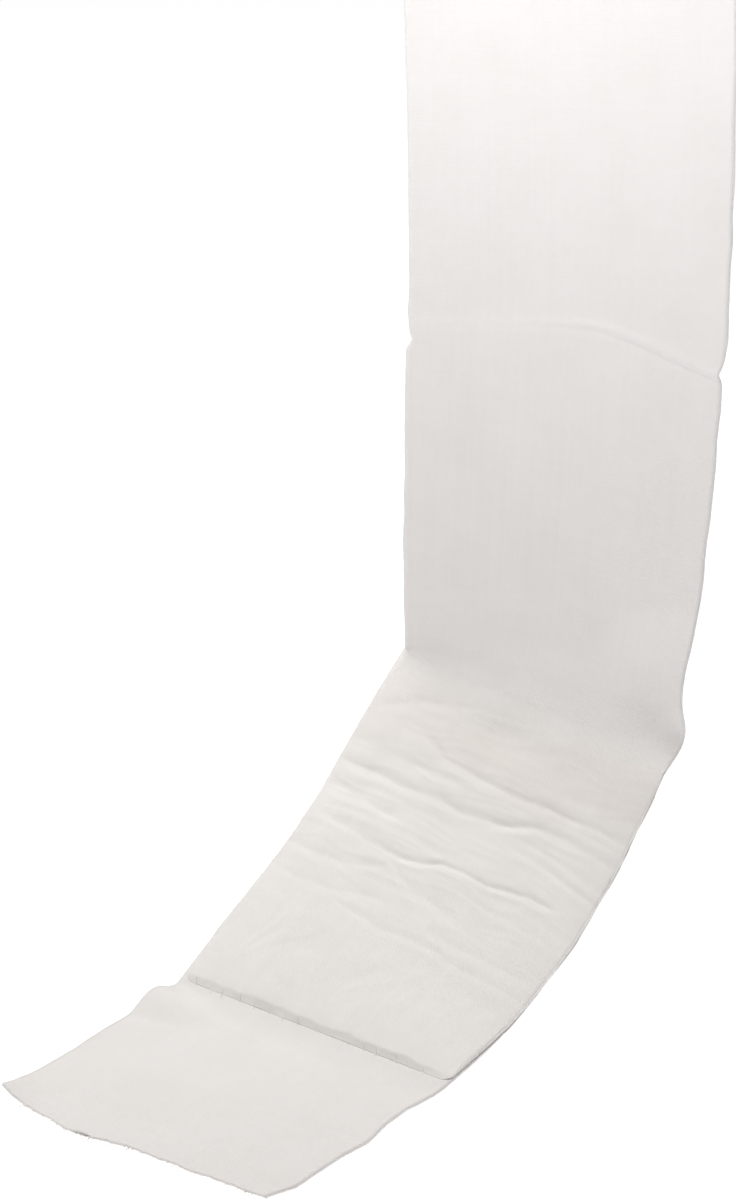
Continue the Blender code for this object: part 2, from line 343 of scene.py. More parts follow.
def noise_at(first, second, first_size, second_size, seed):
    """Smooth noise, about -1 to 1, whose lumps are first_size by second_size."""
    flat = zip(np.ravel(first) / first_size, np.ravel(second) / second_size)
    values = [noise.noise(Vector((x, y, seed * NOISE_LAYER_STEP))) for x, y in flat]
    return np.array(values).reshape(np.shape(first)) * NOISE_STRENGTH


# ---------------------------------------------------------------- mesh helpers

def cloth_mesh(name, points, faces, weave):
    """A smooth mesh with a map named Weave: each vertex's place on the flat cloth, in metres."""
    mesh = bpy.data.meshes.new(name)
    mesh.from_pydata(points.reshape(-1, 3).tolist(), [], faces)
    mesh.validate()
    layer = mesh.uv_layers.new(name="Weave")
    corners = np.empty(len(mesh.loops), dtype=np.int32)
    mesh.loops.foreach_get("vertex_index", corners)
    layer.uv.foreach_set("vector", weave[corners].astype(np.float32).ravel())
    mesh.shade_smooth()
    piece = bpy.data.objects.new(name, mesh)
    bpy.context.scene.collection.objects.link(piece)
    return piece


def grid_quads(rows, columns, start=0, flip=False):
    """Faces of a grid of vertices numbered row by row."""
    corner = start + np.arange(rows - 1)[:, None] * columns + np.arange(columns - 1)
    quads = np.stack((corner, corner + columns, corner + columns + 1, corner + 1), axis=-1)
    quads = quads.reshape(-1, 4)
    return (quads[:, ::-1] if flip else quads).tolist()


def border_loop(rows, columns):
    """Vertex numbers round the edge of a grid, in order."""
    top = [(0, column) for column in range(columns)]
    right = [(row, columns - 1) for row in range(1, rows)]
    bottom = [(rows - 1, column) for column in range(columns - 2, -1, -1)]
    left = [(row, 0) for row in range(rows - 2, 0, -1)]
    return [row * columns + column for row, column in top + right + bottom + left]


def bridge(first, second):
    """Faces between two loops of equal length."""
    count = len(first)
    return [[first[i], first[(i + 1) % count], second[(i + 1) % count], second[i]] for i in range(count)]


# ---------------------------------------------------------------- the gauze bandage

EDGE_NOTCH_START = 86 * MM      # beside the fold mark each woven edge draws in, then steps out again
EDGE_NOTCH_PLACE = 93.5 * MM
EDGE_NOTCH_END = 96 * MM
EDGE_NOTCH_LEFT = 1.5 * MM
EDGE_NOTCH_RIGHT = 1.0 * MM
EDGE_NOTCH_STRIPS = 25          # the width in narrower strips: the notch fades out over one
SHEET_COLUMNS = 76
ROW_SPACING = 0.9               # millimetres between rows of vertices
FOLD_ROW_SPACING = 0.32         # the same near the fold mark
FOLD_ROWS_START = 79            # where these closer rows start and end, in millimetres down the cloth
FOLD_ROWS_END = 99
RAGGED_SHARE = 0.03             # the last part of the length, where the cut end is ragged
HANGING_SLACK = 0.3             # how far the slack cloth strays from its route, in millimetres
TAIL_SLACK = 0.2
HANGING_BLEND = 20 * MM         # the hanging part's slack fades out over this length above the pad
TAIL_SLACK_START = 4 * MM       # the tail's slack starts this far past the pad
TAIL_SLACK_BLEND = 12 * MM      # and grows over this length


def make_bandage():
    end = SECTIONS[-1].distance
    spread = np.concatenate((
        np.arange(0, FOLD_ROWS_START, ROW_SPACING),
        np.arange(FOLD_ROWS_START, FOLD_ROWS_END, FOLD_ROW_SPACING),
        np.arange(FOLD_ROWS_END, end, ROW_SPACING),
        (end,),
    ))
    rows, columns = np.meshgrid(spread / end, np.linspace(0, 1, SHEET_COLUMNS + 1), indexing="ij")
    distance, across = bandage_plan(rows * BANDAGE_LENGTH, columns)

    # the woven edges wander a little, and the cut end is ragged
    near_edge = np.abs(2 * columns - 1) ** 6
    wander = noise_at(distance, columns, 9 * MM, 0.9, 1) * 0.18
    wander = wander + noise_at(distance, columns, 2.5 * MM, 0.9, 2) * 0.05
    across = across + wander * MM * near_edge * np.sign(columns - 0.5)
    before = np.clip((distance - EDGE_NOTCH_START) / (EDGE_NOTCH_PLACE - EDGE_NOTCH_START), 0.0, 1.0) ** 2
    after = np.clip((EDGE_NOTCH_END - distance) / (EDGE_NOTCH_END - EDGE_NOTCH_PLACE), 0.0, 1.0)
    at_left = np.maximum(0.0, 1 - columns * EDGE_NOTCH_STRIPS)
    at_right = np.maximum(0.0, columns * EDGE_NOTCH_STRIPS - (EDGE_NOTCH_STRIPS - 1))
    across = across + before * after * (EDGE_NOTCH_LEFT * at_left - EDGE_NOTCH_RIGHT * at_right)
    across = across + edge_shift(distance, columns)
    near_end = np.maximum(0.0, (rows - (1 - RAGGED_SHARE)) / RAGGED_SHARE) ** 3
    ragged = noise_at(across, rows, 5 * MM, 9.0, 3) * 0.3
    ragged = ragged + noise_at(across, rows, 1.2 * MM, 9.0, 4) * 0.15
    distance = distance + ragged * MM * near_end

    # slack: very soft waves down the hanging length and on the tail, none under the pad
    hanging = smooth_step((PAD_START - distance) / HANGING_BLEND)
    past_pad = distance - (PAD_START + PAD_LENGTH + TAIL_SLACK_START)
    on_tail = smooth_step(past_pad / TAIL_SLACK_BLEND)
    slack = noise_at(across, distance, 22 * MM, 60 * MM, 5) * HANGING_SLACK * hanging
    slack += (noise_at(across, distance, 16 * MM, 16 * MM, 6) * 0.5 + 0.5) * TAIL_SLACK * on_tail
    height = np.maximum(0.0, SHEET_LIFT + slack) * MM

    points = cloth_points(distance, across, height)
    weave = np.stack((across.ravel(), distance.ravel()), axis=-1)
    faces = grid_quads(len(spread), SHEET_COLUMNS + 1)
    bandage = cloth_mesh("gauze_bandage_cloth", points, faces, weave)
    solidify = bandage.modifiers.new("Thickness", "SOLIDIFY")
    solidify.thickness = SHEET_THICKNESS
    solidify.offset = 1.0
    return bandage


# ---------------------------------------------------------------- the wound pad

class Wrinkle(NamedTuple):
    """A soft trough across the pad, in millimetres."""

    name: str
    depth: float
    half_width: float
    path: tuple     # places (across from the left edge, down the cloth), left to right


WRINKLES = (
    Wrinkle("slanting", 0.35, 1.5, ((0, 195.5), (12, 189.5), (20, 186.5), (27, 185), (36, 185))),
    Wrinkle("upper", 0.5, 0.9,
            ((18, 196), (22, 197.4), (27, 200.2), (35, 201.1), (50, 202.2), (70, 202.2), (84, 203.5))),
    Wrinkle("upper_left", 0.42, 1.3,
            ((-6, 203), (4, 203.3), (15, 204.1), (20, 204.7), (28, 204.1), (36, 205.5))),
    Wrinkle("upper_right", 0.3, 0.7, ((56, 204.6), (64, 204.4), (73, 204.9), (86, 206))),
    Wrinkle("high", 0.5, 1.0,
            ((-6, 209.8), (12, 210.4), (21, 211.1), (31, 210.4), (38, 211.3), (46, 210.2), (54, 209.4))),
    Wrinkle("high_right", 0.5, 0.8,
            ((44, 210.8), (51, 209.7), (57, 207.8), (65, 207.4), (73, 208.2), (86, 209.8))),
    Wrinkle("middle_left", 0.5, 1.3,
            ((-6, 217.2), (2, 217.4), (10, 217.8), (18, 219), (27, 219.3))),
    Wrinkle("middle_right", 0.3, 0.7, ((54, 211.8), (60, 212.4), (70, 213.5), (86, 217))),
    Wrinkle("middle_last", 0.35, 0.7, ((52, 214.6), (60, 215.2), (71, 216.9), (86, 219.6))),
    Wrinkle("sharp_left", 0.42, 1.2,
            ((2, 224.9), (9, 226.9), (18, 227.8), (28, 228.4), (36, 228.6))),
    Wrinkle("sharp", 0.6, 0.6,
            ((28, 229), (37, 227.2), (41, 225.5), (47, 225.2), (54, 225.3), (65, 224), (75, 223.8))),
    Wrinkle("joining", 0.3, 0.7, ((25, 227.5), (28, 229), (31, 231.3), (35, 233.5))),
    Wrinkle("low", 0.32, 1.0,
            ((-6, 236.9), (11, 236.9), (19, 236.3), (25, 234.1),
             (30, 231.9), (35, 233), (40, 235.2), (55, 237))),
    Wrinkle("low_right", 0.2, 0.8, ((45, 230), (51, 230.2), (60, 231.1), (76, 231.9), (84, 232))),
    Wrinkle("lowest_left", 0.2, 1.1,
            ((-6, 244.4), (4, 244.7), (11, 245.3), (20, 244.1), (26, 242.2), (31, 241.3), (38, 241))),
    Wrinkle("lowest", 0.19, 0.8,
            ((22, 246.5), (28, 246.9), (37, 247.8), (47, 246.3), (54, 246.3), (60, 247.4), (86, 247.2))),
    Wrinkle("lowest_right", 0.18, 0.8,
            ((45, 242), (50, 242.4), (60, 243), (69, 242.8), (84, 242.5))),
)
WRINKLE_FADE = 6 * MM       # each trough fades out over this length at both ends
WRINKLE_SHIFT = 1.9 * MM    # a trough lies this far below the line that its shaded side draws
WRINKLE_SPREAD = 1.3        # factors on the half width and the depth of every trough
WRINKLE_STRENGTH = 1.12
RIDGE_PLACE = 2.0           # the ridges beside a trough, in its half widths
RIDGE_WIDTH = 1.3
RIDGE_BELOW = 0.3           # their heights as shares of its depth
RIDGE_ABOVE = 0.15


class Hollow(NamedTuple):
    """A shallow soft dip in the pad, or a soft rise where its depth is below 0, in millimetres."""

    name: str
    across: float
    down: float
    depth: float
    width: float
    length: float


HOLLOWS = (
    Hollow("top_middle", 33, 189, 0.5, 20, 6),
    Hollow("top_right", 66, 195, 0.35, 18, 6),
    Hollow("puff_left", 12, 201, -0.3, 12, 4),
    Hollow("middle", 43, 215, 0.4, 9, 4),
    Hollow("puff_middle", 20, 223.5, -0.3, 16, 4),
    Hollow("puff_low", 44, 231.5, -0.3, 10, 4.5),
    Hollow("puff_last", 15, 232, -0.25, 13, 4),
)
HOLLOW_STRENGTH = 1.4

PAD_RAMP_LENGTH = 9 * MM       # the pad fills out over a few times this, from almost nothing at its top
PAD_RAMP_SHARE = 0.02
PAD_RAMP_POWER = 1.6
PAD_SIDE_SHARE = 0.5           # thickness at the two sides, and how far in it builds up
PAD_SIDE_BUILD = 6 * MM
PAD_FOOT_SHARE = 0.31          # the same at the foot
PAD_FOOT_BUILD = 8 * MM
PAD_RIM_WIDTH = 0.5 * MM
PAD_RIM_SHARE = 0.75
PAD_FOOT_SLOPE = 1.5 * MM      # the puckered slope of the foot itself
PAD_FOOT_EDGE = 0.08
PAD_LEAST = 0.04 * MM          # it is nowhere thinner than this, before its edges are thinned
PAD_RELIEF_RAMP = 1.5          # above 1 the wrinkles reach their full depth before the pad is full
PAD_CORNER_RADIUS = 3.0 * MM
PAD_CROWN = 0.25 * MM
PAD_ROW_SPACING = 0.34 * MM
PAD_COLUMN_SPACING = 0.7 * MM
PAD_EDGE_PLACES = (0.0, 0.12 * MM, 0.35 * MM, 0.7 * MM, 1.15 * MM)

# the side wall from the pad's back upwards: share of its height, and how far it draws in
WALL_PROFILE = (
    (0.0, 0.05 * MM),
    (0.2, 0.01 * MM),
    (0.5, 0.0),
    (0.8, 0.0),
)


def crowded_places(length, spacing):
    """Places from 0 to length: evenly spaced, but closer together at both ends."""
    first = PAD_EDGE_PLACES[-1]
    inner = np.linspace(first, length - first, round((length - 2 * first) / spacing) + 1)
    ends = np.array(PAD_EDGE_PLACES[:-1])
    return np.concatenate((ends, inner, length - ends[::-1]))


CREASES_FADE_IN = 8 * MM        # the cover's long creases set in over this length at the pad's top
CREASES_END = 78 * MM           # they are gone this far down the pad, after fading over the next length
CREASES_FADE_OUT = 30 * MM
CREASES_DEPTH = 0.10            # millimetres
RUNS_START = 58 * MM            # the creases that run down set in from here, over the next length
RUNS_FADE_IN = 22 * MM
RUNS_DEPTH = 0.09               # millimetres


def wrinkle_relief(down_pad, from_left):
    """Depth of the pad's troughs, less the soft ridges pushed up beside them."""
    wander = noise_at(from_left, down_pad, 8 * MM, 25 * MM, 11) * 0.3 * MM
    wander += noise_at(from_left, down_pad, 3 * MM, 25 * MM, 12) * 0.15 * MM
    distance = PAD_START + down_pad + wander
    total = np.zeros_like(down_pad)
    for number, wrinkle in enumerate(WRINKLES):
        across, down = np.array(wrinkle.path).T * MM
        inside = np.minimum(from_left - across[0], across[-1] - from_left)
        strength = 0.85 + 0.4 * noise_at(from_left, down_pad * 0, 9 * MM, 1.0, 20 + number)
        beyond = distance - WRINKLE_SHIFT - np.interp(from_left, across, down)
        offset = beyond / (WRINKLE_SPREAD * wrinkle.half_width * MM)
        ridges = RIDGE_BELOW * np.exp(-((offset - RIDGE_PLACE) / RIDGE_WIDTH) ** 2)
        ridges = ridges + RIDGE_ABOVE * np.exp(-((offset + RIDGE_PLACE) / RIDGE_WIDTH) ** 2)
        trough = np.exp(-np.abs(offset) ** 1.5) - ridges
        depth = WRINKLE_STRENGTH * wrinkle.depth * MM * strength
        total += depth * smooth_step(inside / WRINKLE_FADE) * trough
    for hollow in HOLLOWS:
        aside = (from_left - hollow.across * MM) / (hollow.width * MM)
        along = (distance - hollow.down * MM) / (hollow.length * MM)
        total += HOLLOW_STRENGTH * hollow.depth * MM * np.exp(-(aside * aside + along * along))
    return total


def fine_crinkle(down_pad, from_left):
    """Small creases of the gauze cover: long across the upper pad, running down at its foot."""
    upper = smooth_step(down_pad / CREASES_FADE_IN)
    upper = upper * smooth_step((CREASES_END - down_pad) / CREASES_FADE_OUT)
    lower = smooth_step((down_pad - RUNS_START) / RUNS_FADE_IN)
    sweep = down_pad + noise_at(from_left, down_pad, 14 * MM, 14 * MM, 31) * 2.0 * MM
    creases = 1 - np.abs(noise_at(sweep, from_left, 2.6 * MM, 16 * MM, 32)) * 2.0
    swirl = from_left + noise_at(down_pad, from_left, 16 * MM, 22 * MM, 33) * 7.0 * MM
    runs = 1 - np.abs(noise_at(swirl, down_pad, 4.2 * MM, 13 * MM, 34)) * 2.0
    return (upper * creases * CREASES_DEPTH + lower * runs * RUNS_DEPTH) * MM


def rounded_rim(from_side):
    """The pad builds up from its thin sides, whose upper edges are rounded."""
    share = 1 - (1 - PAD_SIDE_SHARE) * np.exp(-from_side / PAD_SIDE_BUILD)
    inward = np.clip(from_side / PAD_RIM_WIDTH, 0.0, 1.0)
    return share * (PAD_RIM_SHARE + (1 - PAD_RIM_SHARE) * np.sqrt(1 - (1 - inward) ** 2))


def thinned_foot(from_end, across):
    """The pad thins towards its foot, which slopes down to the bandage with uneven puckers."""
    puckers = noise_at(across, across * 0, 4.2 * MM, 1.0, 36) * 0.5
    puckers = puckers + noise_at(across, across * 0, 1.6 * MM, 1.0, 37) * 0.2
    foot = PAD_FOOT_SHARE * (1 + 0.3 * noise_at(across, across * 0, 7 * MM, 1.0, 38))
    share = 1 - (1 - foot) * np.exp(-from_end / PAD_FOOT_BUILD)
    slope = np.clip(from_end / (PAD_FOOT_SLOPE + puckers * MM), 0.0, 1.0)
    return share * (PAD_FOOT_EDGE + (1 - PAD_FOOT_EDGE) * slope)


def pad_thickness(down_pad, across):
    """Thickness of the pad: full in the middle, thin at its edges, less in the troughs."""
    from_side = np.maximum(0.0, PAD_WIDTH / 2 - np.abs(across))
    from_end = np.maximum(0.0, PAD_LENGTH - down_pad)
    crown = PAD_CROWN * (1 - (2 * across / PAD_WIDTH) ** 2)
    from_left = BANDAGE_WIDTH / 2 + PAD_OFFSET + across
    relief = wrinkle_relief(down_pad, from_left) - fine_crinkle(down_pad, from_left)
    filled = 1 - np.exp(-(down_pad / PAD_RAMP_LENGTH) ** PAD_RAMP_POWER)
    ramp = PAD_RAMP_SHARE + (1 - PAD_RAMP_SHARE) * filled
    full = (PAD_THICKNESS + crown) * ramp - relief * np.minimum(1.0, ramp * PAD_RELIEF_RAMP)
    full = np.maximum(full, PAD_LEAST)
    return full * rounded_rim(from_side) * thinned_foot(from_end, across)


def pad_plan(down_pad, share):
    """Across positions on the pad from a share 0 to 1 of its width there, with rounded corners."""
    from_end = np.minimum(down_pad, PAD_LENGTH - down_pad)
    past = np.clip(1.0 - from_end / PAD_CORNER_RADIUS, 0.0, 1.0)
    inset = PAD_CORNER_RADIUS * (1.0 - np.sqrt(1.0 - past * past))
    wander = noise_at(down_pad, np.sign(share - 0.5), 8 * MM, 0.7, 41) * 0.3 * MM
    across = (2 * share - 1) * (PAD_WIDTH / 2 - inset + wander * np.abs(2 * share - 1) ** 8)
    return across + edge_shift(PAD_START + down_pad, share)


def make_pad():
    downs = crowded_places(PAD_LENGTH, PAD_ROW_SPACING)
    shares = crowded_places(PAD_WIDTH, PAD_COLUMN_SPACING) / PAD_WIDTH
    down_pad, share = np.meshgrid(downs, shares, indexing="ij")
    across = pad_plan(down_pad, share)
    thickness = pad_thickness(down_pad, across)
    rows, columns = down_pad.shape

    def level_points(height, inset, chosen):
        """The chosen grid vertices at a height over the pad's back, drawn in by inset."""
        down = np.clip(down_pad.ravel()[chosen], inset, PAD_LENGTH - inset)
        side = np.clip(across.ravel()[chosen], -PAD_WIDTH / 2 + inset, PAD_WIDTH / 2 - inset)
        level = PAD_BASE + height * thickness.ravel()[chosen]
        return cloth_points(PAD_START + down, PAD_OFFSET + side, level)

    everything = np.arange(rows * columns)
    border = np.array(border_loop(rows, columns))
    layers = [level_points(0.0, WALL_PROFILE[0][1], everything), level_points(1.0, 0.0, everything)]
    weave_grid = np.stack((across.ravel(), (PAD_START + down_pad).ravel()), axis=-1)
    weave = [weave_grid, weave_grid]
    loops = [border]
    start = 2 * rows * columns
    for height, inset in WALL_PROFILE[1:]:
        layers.append(level_points(height, inset, border))
        weave.append(weave_grid[border] + height * PAD_THICKNESS)
        loops.append(start + np.arange(len(border)))
        start += len(border)
    loops.append(border + rows * columns)

    faces = grid_quads(rows, columns, 0, flip=True) + grid_quads(rows, columns, rows * columns)
    for lower, upper in zip(loops, loops[1:]):
        faces += bridge(lower.tolist(), upper.tolist())
    pad = cloth_mesh("wound_pad_filled", np.concatenate(layers), faces, np.concatenate(weave))
    shape = bmesh.new()
    shape.from_mesh(pad.data)
    bmesh.ops.recalc_face_normals(shape, faces=shape.faces)
    shape.to_mesh(pad.data)
    shape.free()
    return pad


# ---------------------------------------------------------------- sewing and loose threads

STITCH_PITCH = 4.6 * MM
STITCH_RADIUS = 0.12 * MM
STITCH_SLANT = 1.0 * MM
STITCH_BITE = 1.3 * MM       # how far a stitch reaches over the pad
STITCH_FOOT = 0.9 * MM       # how far it reaches out over the bandage
STITCH_MARGIN = 3 * MM       # about this far from the pad's sides to the first and last stitch
STITCH_PROUD = 0.03 * MM     # it lies this high over the cloth, but dips in at both ends
STITCH_DIP = 0.35 * MM
STITCH_LANDING = 0.55        # the share of its foot over which it comes down to the bandage
STITCH_POINTS = 12
FRAY_RADIUS = 0.08 * MM
FRAY_LENGTHS = (0.5, 0.7, 0.9, 1.2, 1.9)
FRAY_ROOT = 0.5 * MM         # a loose thread starts this far inside the cut
FRAY_POINTS = 5


def thread_object(name, lines, radius):
    """Threads as one curve object; each line is a list of points."""
    curve = bpy.data.curves.new(name, "CURVE")
    curve.dimensions = "3D"
    curve.bevel_depth = radius
    curve.bevel_resolution = 2
    curve.use_fill_caps = True
    for line in lines:
        spline = curve.splines.new("POLY")
        spline.points.add(len(line) - 1)
        for point, place in zip(spline.points, line):
            point.co = (*place, 1.0)
    piece = bpy.data.objects.new(name, curve)
    bpy.context.scene.collection.objects.link(piece)
    return piece


def make_stitches(name, seed):
    """A row of small slanting stitches over the foot of the pad."""
    dice = random.Random(seed)
    count = int((PAD_WIDTH - 2 * STITCH_MARGIN) / STITCH_PITCH)
    lines = []
    for number in range(count + 1):
        side = STITCH_MARGIN - PAD_WIDTH / 2 + number * STITCH_PITCH + dice.uniform(-0.7, 0.7) * MM
        bite = STITCH_BITE + dice.uniform(-0.4, 0.3) * MM
        foot = STITCH_FOOT + dice.uniform(-0.3, 0.3) * MM
        reach = np.linspace(-bite, foot, STITCH_POINTS)
        over = np.clip(PAD_LENGTH + reach, 0.0, PAD_LENGTH)
        across = side + STITCH_SLANT * (reach + bite) / (bite + foot)
        top = PAD_BASE + pad_thickness(over, across)
        beyond = np.clip(reach / (STITCH_LANDING * foot), 0.0, 1.0)
        height = top * (1 - smooth_step(beyond)) + PAD_BASE * smooth_step(beyond)
        ends = np.clip(np.minimum(reach + bite, foot - reach) / STITCH_DIP, 0.0, 1.0)
        height = height + STITCH_PROUD - STITCH_DIP * (1 - ends)
        down = PAD_START + PAD_LENGTH + reach
        lines.append(cloth_points(down, PAD_OFFSET + across, height).tolist())
    return thread_object(name, lines, STITCH_RADIUS)


def make_fray(name, distance, count, seed):
    """Short loose threads along a cut end of the bandage."""
    dice = random.Random(seed)
    outward = 1 if distance > BANDAGE_LENGTH / 2 else -1
    lines = []
    for _ in range(count):
        share = dice.uniform(0.01, 0.99)
        length = dice.choice(FRAY_LENGTHS) * MM
        steps = np.linspace(0.0, 1.0, FRAY_POINTS)
        root, side = bandage_plan(np.full(FRAY_POINTS, distance), np.full(FRAY_POINTS, share))
        side = side + dice.uniform(-0.5, 0.5) * length * steps ** 1.5
        reach = steps * length - FRAY_ROOT
        rise = dice.uniform(0.3, 0.9)
        height = SHEET_THICKNESS * (rise + 0.25 * np.sin(steps * 3) * dice.uniform(-1, 1))
        inside = root - outward * np.maximum(0.0, -reach)
        along = cloth_axes(inside)[0]
        beyond = outward * np.maximum(0.0, reach)
        points = cloth_points(inside, side, height) + along * beyond[:, None]
        lines.append(points.tolist())
    return thread_object(name, lines, FRAY_RADIUS)


# ---------------------------------------------------------------- materials

class Nodes:
    """Short ways to add nodes to one material."""

    def __init__(self, name):
        self.material = bpy.data.materials.new(name)
        self.material.use_nodes = True
        self.tree = self.material.node_tree
        self.shader = self.tree.nodes["Principled BSDF"]

    def add(self, kind, **settings):
        node = self.tree.nodes.new(kind)
        for key, value in settings.items():
            setattr(node, key, value)
        return node

    def link(self, source, target):
        self.tree.links.new(source, target)
        return target

    def math(self, operation, first, second=None):
        node = self.add("ShaderNodeMath", operation=operation)
        for socket, value in zip(node.inputs, (first, second)):
            if value is None:
                continue
            if isinstance(value, (int, float)):
                socket.default_value = value
            else:
                self.link(value, socket)
        return node.outputs[0]

    def noise(self, vector, scale, detail=2.0, roughness=0.5):
        node = self.add("ShaderNodeTexNoise")
        node.inputs["Scale"].default_value = scale
        node.inputs["Detail"].default_value = detail
        node.inputs["Roughness"].default_value = roughness
        self.link(vector, node.inputs["Vector"])
        return node.outputs["Fac"]

    def stretched(self, vector, scale):
        node = self.add("ShaderNodeVectorMath", operation="MULTIPLY")
        self.link(vector, node.inputs[0])
        node.inputs[1].default_value = scale
        return node.outputs[0]

    def ramp(self, factor, *stops):
        """A colour ramp through (position, colour) stops."""
        node = self.add("ShaderNodeValToRGB")
        elements = node.color_ramp.elements
        while len(elements) < len(stops):
            elements.new(0.5)
        for element, (position, colour) in zip(elements, stops):
            element.position = position
            element.color = (*colour, 1.0)
        self.link(factor, node.inputs["Fac"])
        return node.outputs["Color"]

    def bump(self, height, distance, strength=1.0, normal=None):
        node = self.add("ShaderNodeBump")
        node.inputs["Distance"].default_value = distance
        node.inputs["Strength"].default_value = strength
        self.link(height, node.inputs["Height"])
        if normal is not None:
            self.link(normal, node.inputs["Normal"])
        return node.outputs["Normal"]

    def multiply(self, factor, first, second):
        node = self.add("ShaderNodeMix", data_type="RGBA", blend_type="MULTIPLY")
        node.inputs["Factor"].default_value = factor
        self.link(first, node.inputs["A"])
        self.link(second, node.inputs["B"])
        return node.outputs["Result"]


WHITE = (1.0, 1.0, 1.0)
# Painted shade over the pad's upper part, below the bend: where it lies and its greys
PAINTED_SHADE_START = 0.178    # where the painted shade over the top of the pad starts and ends, in metres down the cloth
PAINTED_SHADE_END = 0.222
PAINTED_SHADE_DRIFT = 0.03     # its borders wander by at most half of this, in metres
PAINTED_BEND_SHADE = (0.957, 0.955, 0.963)
PAINTED_TOP_SHADE = (0.955, 0.955, 0.955)
PAINTED_LEFT_SHADE = (0.94, 0.935, 0.935)
PALE_SHARE = 0.4      # the share of the painted shade that is left, mixed with white, past its lower border


def painted_top_shade(nodes, cloth, shade_grey):
    """Painted shade over the upper part of the pad, greyer at its top and left, and white below."""
    split = nodes.add("ShaderNodeSeparateXYZ")
    nodes.link(cloth, split.inputs[0])
    drift = nodes.math("SUBTRACT", nodes.noise(cloth, 60.0, 2.0, 0.5), 0.5)
    drift = nodes.math("MULTIPLY", drift, PAINTED_SHADE_DRIFT)
    down = nodes.math("ADD", split.outputs["Y"], drift)
    down = nodes.math("DIVIDE", nodes.math("SUBTRACT", down, PAINTED_SHADE_START), PAINTED_SHADE_END - PAINTED_SHADE_START)
    pale = tuple(PALE_SHARE * part + (1 - PALE_SHARE) for part in shade_grey)
    # painted shade down the pad: a light grey at the bend, greyest a little below it, then fading to white
    band = nodes.ramp(
        down, (0.04, PAINTED_BEND_SHADE), (0.12, PAINTED_TOP_SHADE), (0.28, shade_grey), (0.45, shade_grey), (0.62, pale), (1.0, WHITE))
    from_left = nodes.math("ADD", split.outputs["X"], BANDAGE_WIDTH / 2)
    from_left = nodes.math("DIVIDE", from_left, BANDAGE_WIDTH)
    # painted shade across the width: a grey at the left, and the lighter of the two greys is kept
    aside = nodes.ramp(from_left, (0.0, PAINTED_LEFT_SHADE), (0.45, shade_grey))
    mix = nodes.add("ShaderNodeMix", data_type="RGBA", blend_type="LIGHTEN")
    mix.inputs["Factor"].default_value = 1.0
    nodes.link(band, mix.inputs["A"])
    nodes.link(aside, mix.inputs["B"])
    return mix.outputs["Result"]


WEAVE_WOBBLE = 0.5 * MM     # the threads are moved sideways by up to this much
SLUB_RELIEF = 0.08 * MM
THREAD_RELIEF = 0.07 * MM


def gauze_material(name, light, dark, warp_pitch, weft_pitch, mottle_scale, top_shade=None):
    """Plain-woven cotton: threads over and under each other, with slubs and uneven colour, and painted
    shade over the top where asked.
    """
    nodes = Nodes(name)
    cloth = nodes.add("ShaderNodeUVMap", uv_map="Weave").outputs["UV"]
    wobble = nodes.add("ShaderNodeVectorMath", operation="SCALE")
    drift = nodes.add("ShaderNodeTexNoise")
    drift.inputs["Scale"].default_value = 260.0
    nodes.link(cloth, drift.inputs["Vector"])
    nodes.link(drift.outputs["Color"], wobble.inputs[0])
    wobble.inputs["Scale"].default_value = WEAVE_WOBBLE
    moved = nodes.add("ShaderNodeVectorMath", operation="ADD")
    nodes.link(cloth, moved.inputs[0])
    nodes.link(wobble.outputs[0], moved.inputs[1])
    split = nodes.add("ShaderNodeSeparateXYZ")
    nodes.link(moved.outputs[0], split.inputs[0])
    warp_wave = nodes.math("SINE", nodes.math("MULTIPLY", split.outputs["X"], math.pi / warp_pitch))
    weft_wave = nodes.math("SINE", nodes.math("MULTIPLY", split.outputs["Y"], math.pi / weft_pitch))
    over = nodes.math("MULTIPLY_ADD", nodes.math("MULTIPLY", warp_wave, weft_wave), 0.5)
    over.node.inputs[2].default_value = 0.5
    warp_ridge = nodes.math("ABSOLUTE", warp_wave)
    weft_ridge = nodes.math("ABSOLUTE", weft_wave)
    warp_part = nodes.math("MULTIPLY", warp_ridge, over)
    weft_part = nodes.math("MULTIPLY", weft_ridge, nodes.math("SUBTRACT", 1.0, over))
    threads = nodes.math("MAXIMUM", warp_part, weft_part)

    lengthwise = nodes.noise(nodes.stretched(cloth, (700.0, 12.0, 1.0)), 1.0, 3.0, 0.6)
    crosswise = nodes.noise(nodes.stretched(cloth, (12.0, 700.0, 1.0)), 1.0, 3.0, 0.6)
    lengthwise = nodes.math("MULTIPLY", lengthwise, 0.6)
    slubs = nodes.math("ADD", lengthwise, nodes.math("MULTIPLY", crosswise, 0.4))
    mottle = nodes.noise(cloth, mottle_scale, 4.0, 0.55)

    colour = nodes.ramp(mottle, (0.35, dark), (0.62, light))
    streaks = nodes.ramp(slubs, (0.38, (0.986, 0.984, 0.981)), (0.62, WHITE))
    colour = nodes.multiply(1.0, colour, streaks)
    between = nodes.ramp(threads, (0.05, (0.93, 0.927, 0.92)), (0.45, WHITE))
    colour = nodes.multiply(0.6, colour, between)
    # painted shade over the pad's upper part
    if top_shade:
        colour = nodes.multiply(1.0, colour, painted_top_shade(nodes, cloth, top_shade))
    nodes.link(colour, nodes.shader.inputs["Base Color"])

    normal = nodes.bump(slubs, SLUB_RELIEF, 0.5)
    normal = nodes.bump(threads, THREAD_RELIEF, 0.7, normal)
    nodes.link(normal, nodes.shader.inputs["Normal"])
    nodes.shader.inputs["Roughness"].default_value = 0.93
    nodes.shader.inputs["Specular IOR Level"].default_value = 0.2
    nodes.shader.inputs["Sheen Weight"].default_value = 0.12
    nodes.shader.inputs["Sheen Roughness"].default_value = 0.6
    return nodes.material


